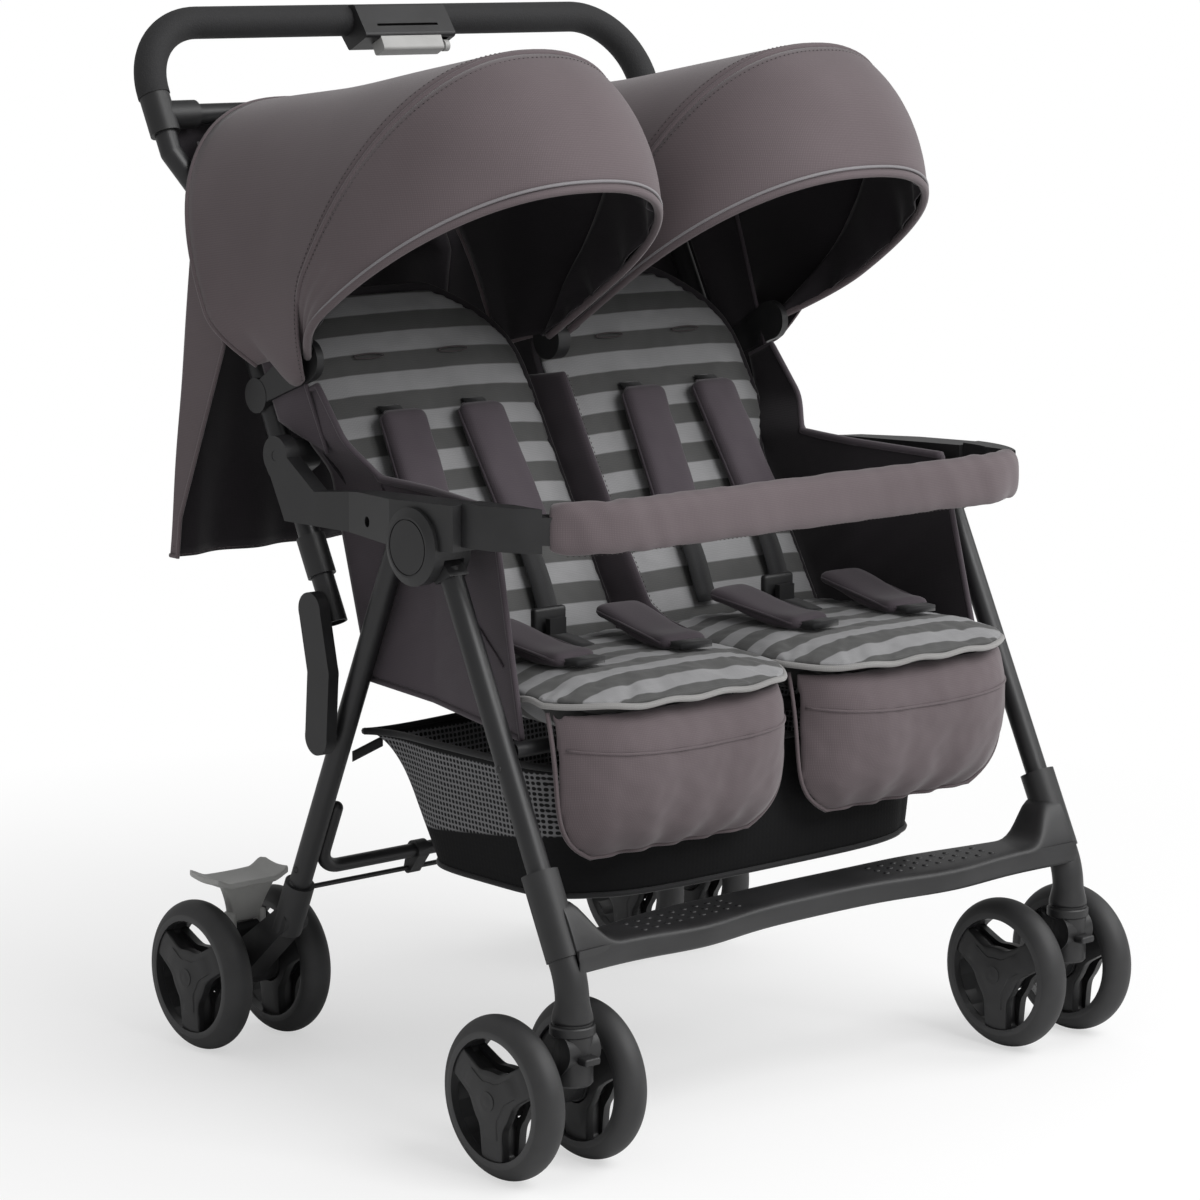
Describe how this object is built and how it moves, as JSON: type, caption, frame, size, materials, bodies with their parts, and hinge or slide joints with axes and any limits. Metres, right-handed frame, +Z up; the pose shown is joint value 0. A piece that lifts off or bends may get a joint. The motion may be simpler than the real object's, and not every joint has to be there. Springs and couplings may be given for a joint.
{
  "type": "double stroller",
  "caption": "Side by side double stroller with folding tube frame, reclining striped seats, swinging canopies, bumper bar, basket and swivelling twin front casters.",
  "frame": {"origin": "on the floor, under the middle of the outline", "axes": "+X to the left of the person who pushes, +Y to the rear, +Z up; the front faces -Y"},
  "size_m": [0.7846, 0.7208, 1.0235],
  "materials": {
    "tube": "satin dark charcoal paint",
    "moulding": "fine grained",
    "grey_moulding": "fine grained",
    "foam": "matte foam",
    "wheel": "smooth tread, satin hub",
    "steel": "satin",
    "outer_cloth": "plain weave",
    "striped_cloth": "plain weave in two greys",
    "dark_cloth": "open mesh and plain weave"
  },
  "bodies": {
    "rear_frame": {"rear_legs": "tube", "leg_knuckles": "moulding", "rear_cross_tube": "tube", "rear_housings": "moulding", "rear_axles": "steel", "seat_pad_left": "striped_cloth", "seat_pad_right": "striped_cloth", "side_panels": "outer_cloth", "seat_divider": "outer_cloth", "basket": "dark_cloth", "brake_cable": "moulding", "lap_belt_left": "outer_cloth", "lap_belt_right": "outer_cloth"},
    "armrests": {"armrests": "moulding", "hub_caps": "moulding"},
    "front_frame": {"front_legs": "tube", "front_knuckles": "moulding", "footrest_bar": "moulding", "forks": "moulding", "seat_front_bar": "tube"},
    "caster_left": {"caster_left": "moulding"},
    "caster_right": {"caster_right": "moulding"},
    "handle": {"handle_tube": "tube", "handle_grip": "foam", "handle_crossbar": "tube", "handle_connectors": "moulding", "handle_housing": "moulding", "handle_joints": "moulding", "canopy_clips": "moulding", "canopy_rear_left": "outer_cloth", "canopy_rear_right": "outer_cloth", "rear_curtain": "outer_cloth"},
    "seat_back_left": {"seat_back_left": "striped_cloth", "harness_left": "outer_cloth"},
    "seat_back_right": {"seat_back_right": "striped_cloth", "harness_right": "outer_cloth"},
    "canopy_left": {"canopy_visor_left": "outer_cloth"},
    "canopy_right": {"canopy_visor_right": "outer_cloth"},
    "legrest_left": {"legrest_left": "outer_cloth"},
    "legrest_right": {"legrest_right": "outer_cloth"},
    "bumper": {"bumper_bar": "moulding", "bumper_cover": "outer_cloth"},
    "bumper_button_left": {"bumper_button_left": "moulding"},
    "bumper_button_right": {"bumper_button_right": "moulding"},
    "fold_trigger": {"fold_trigger": "grey_moulding"},
    "trigger_lock": {"trigger_lock": "grey_moulding"},
    "lock_collars": {"lock_collars": "moulding"},
    "fold_links": {"fold_links": "moulding"},
    "brake_pedal": {"brake_pedal": "grey_moulding"},
    "brake_bolts": {"brake_bolts": "steel"},
    "buckle_button_left": {"buckle_button_left": "grey_moulding"},
    "buckle_button_right": {"buckle_button_right": "grey_moulding"},
    "front_wheel_left_outer": {"front_wheel_left_outer": "wheel"},
    "front_wheel_left_inner": {"front_wheel_left_inner": "wheel"},
    "front_wheel_right_inner": {"front_wheel_right_inner": "wheel"},
    "front_wheel_right_outer": {"front_wheel_right_outer": "wheel"},
    "rear_wheel_left_outer": {"rear_wheel_left_outer": "wheel"},
    "rear_wheel_left_inner": {"rear_wheel_left_inner": "wheel"},
    "rear_wheel_right_inner": {"rear_wheel_right_inner": "wheel"},
    "rear_wheel_right_outer": {"rear_wheel_right_outer": "wheel"}
  },
  "joints": [
    {"name": "fold", "type": "hinge", "parent": "rear_frame", "child": "armrests", "pos_m": [0, -0.04142, 0.56], "axis": [1, 0, 0], "range_deg": [-55, 0], "deforming": ["seat_pad_left", "seat_pad_right", "side_panels", "seat_divider", "basket", "lap_belt_left", "lap_belt_right", "canopy_visor_left", "canopy_visor_right", "canopy_rear_left", "canopy_rear_right", "rear_curtain"]},
    {"name": "handle_fold", "type": "hinge", "parent": "armrests", "child": "handle", "pos_m": [0, 0.11358, 0.605], "axis": [1, 0, 0], "range_deg": [0, 111.7]},
    {"name": "front_fold", "type": "hinge", "parent": "armrests", "child": "front_frame", "pos_m": [0, -0.12542, 0.548], "axis": [1, 0, 0], "range_deg": [0, 88]},
    {"name": "link_fold", "type": "hinge", "parent": "rear_frame", "child": "fold_links", "pos_m": [0, 0.05855, 0.33961], "axis": [1, 0, 0], "range_deg": [-84.35, 0]},
    {"name": "caster_left_swivel", "type": "hinge", "parent": "front_frame", "child": "caster_left", "pos_m": [0.324, -0.32242, 0.135], "axis": [0, 0, 1], "continuous": true},
    {"name": "caster_right_swivel", "type": "hinge", "parent": "front_frame", "child": "caster_right", "pos_m": [-0.324, -0.32242, 0.135], "axis": [0, 0, 1], "continuous": true},
    {"name": "front_wheel_left_outer_spin", "type": "hinge", "parent": "caster_left", "child": "front_wheel_left_outer", "pos_m": [0.372, -0.28542, 0.075], "axis": [1, 0, 0], "continuous": true},
    {"name": "front_wheel_left_inner_spin", "type": "hinge", "parent": "caster_left", "child": "front_wheel_left_inner", "pos_m": [0.276, -0.28542, 0.075], "axis": [1, 0, 0], "continuous": true},
    {"name": "front_wheel_right_inner_spin", "type": "hinge", "parent": "caster_right", "child": "front_wheel_right_inner", "pos_m": [-0.276, -0.28542, 0.075], "axis": [1, 0, 0], "continuous": true},
    {"name": "front_wheel_right_outer_spin", "type": "hinge", "parent": "caster_right", "child": "front_wheel_right_outer", "pos_m": [-0.372, -0.28542, 0.075], "axis": [1, 0, 0], "continuous": true},
    {"name": "rear_wheel_left_outer_spin", "type": "hinge", "parent": "rear_frame", "child": "rear_wheel_left_outer", "pos_m": [0.334, 0.23258, 0.075], "axis": [1, 0, 0], "continuous": true},
    {"name": "rear_wheel_left_inner_spin", "type": "hinge", "parent": "rear_frame", "child": "rear_wheel_left_inner", "pos_m": [0.238, 0.23258, 0.075], "axis": [1, 0, 0], "continuous": true},
    {"name": "rear_wheel_right_inner_spin", "type": "hinge", "parent": "rear_frame", "child": "rear_wheel_right_inner", "pos_m": [-0.238, 0.23258, 0.075], "axis": [1, 0, 0], "continuous": true},
    {"name": "rear_wheel_right_outer_spin", "type": "hinge", "parent": "rear_frame", "child": "rear_wheel_right_outer", "pos_m": [-0.334, 0.23258, 0.075], "axis": [1, 0, 0], "continuous": true},
    {"name": "recline_left", "type": "hinge", "parent": "handle", "child": "seat_back_left", "pos_m": [0.14, -0.04042, 0.427], "axis": [-1, 0, 0], "range_deg": [0, 21]},
    {"name": "canopy_left_swing", "type": "hinge", "parent": "handle", "child": "canopy_left", "pos_m": [0.16, 0.08658, 0.697], "axis": [-1, 0, 0], "range_deg": [0, 45], "deforming": ["canopy_rear_left"]},
    {"name": "legrest_left_swing", "type": "hinge", "parent": "front_frame", "child": "legrest_left", "pos_m": [0.1492, -0.27742, 0.391], "axis": [-1, 0, 0], "range_deg": [0, 35]},
    {"name": "recline_right", "type": "hinge", "parent": "handle", "child": "seat_back_right", "pos_m": [-0.14, -0.04042, 0.427], "axis": [-1, 0, 0], "range_deg": [0, 21]},
    {"name": "canopy_right_swing", "type": "hinge", "parent": "handle", "child": "canopy_right", "pos_m": [-0.16, 0.08658, 0.697], "axis": [-1, 0, 0], "range_deg": [0, 45], "deforming": ["canopy_rear_right"]},
    {"name": "legrest_right_swing", "type": "hinge", "parent": "front_frame", "child": "legrest_right", "pos_m": [-0.1492, -0.27742, 0.391], "axis": [-1, 0, 0], "range_deg": [0, 35]},
    {"name": "bumper_slide", "type": "slide", "parent": "armrests", "child": "bumper", "axis": [0, -1, 0], "range_m": [0, 0.05]},
    {"name": "bumper_button_left_press", "type": "slide", "parent": "bumper", "child": "bumper_button_left", "axis": [0, 0, 1], "range_m": [0, 0.003], "stiffness_N_per_m": 800, "springref_m": -0.002},
    {"name": "bumper_button_right_press", "type": "slide", "parent": "bumper", "child": "bumper_button_right", "axis": [0, 0, 1], "range_m": [0, 0.003], "stiffness_N_per_m": 800, "springref_m": -0.002},
    {"name": "trigger_squeeze", "type": "slide", "parent": "handle", "child": "fold_trigger", "axis": [0, 0.454, 0.891], "range_m": [0, 0.008], "stiffness_N_per_m": 900, "springref_m": -0.003},
    {"name": "trigger_lock_slide", "type": "slide", "parent": "fold_trigger", "child": "trigger_lock", "axis": [-1, 0, 0], "range_m": [0, 0.005]},
    {"name": "collar_lift", "type": "slide", "parent": "handle", "child": "lock_collars", "axis": [0, 0.454, 0.891], "range_m": [0, 0.012]},
    {"name": "brake_press", "type": "hinge", "parent": "rear_frame", "child": "brake_pedal", "pos_m": [-0.286, 0.22458, 0.115], "axis": [-1, 0, 0], "range_deg": [0, 15]},
    {"name": "brake_bolt_slide", "type": "slide", "parent": "rear_frame", "child": "brake_bolts", "axis": [1, 0, 0], "range_m": [0, 0.006]},
    {"name": "buckle_left_press", "type": "slide", "parent": "rear_frame", "child": "buckle_button_left", "axis": [0, 1, 0], "range_m": [0, 0.003], "stiffness_N_per_m": 800, "springref_m": -0.002},
    {"name": "buckle_right_press", "type": "slide", "parent": "rear_frame", "child": "buckle_button_right", "axis": [0, 1, 0], "range_m": [0, 0.003], "stiffness_N_per_m": 800, "springref_m": -0.002}
  ],
  "couplings": [
    {"joint": "handle_fold", "follows": "fold", "ratio": -2.0309},
    {"joint": "front_fold", "follows": "fold", "ratio": -1.6},
    {"joint": "link_fold", "follows": "fold", "ratio": 1.5336},
    {"joint": "collar_lift", "follows": "trigger_squeeze", "ratio": 1.5},
    {"joint": "brake_bolt_slide", "follows": "brake_press", "m_per_rad": 0.022918}
  ]
}
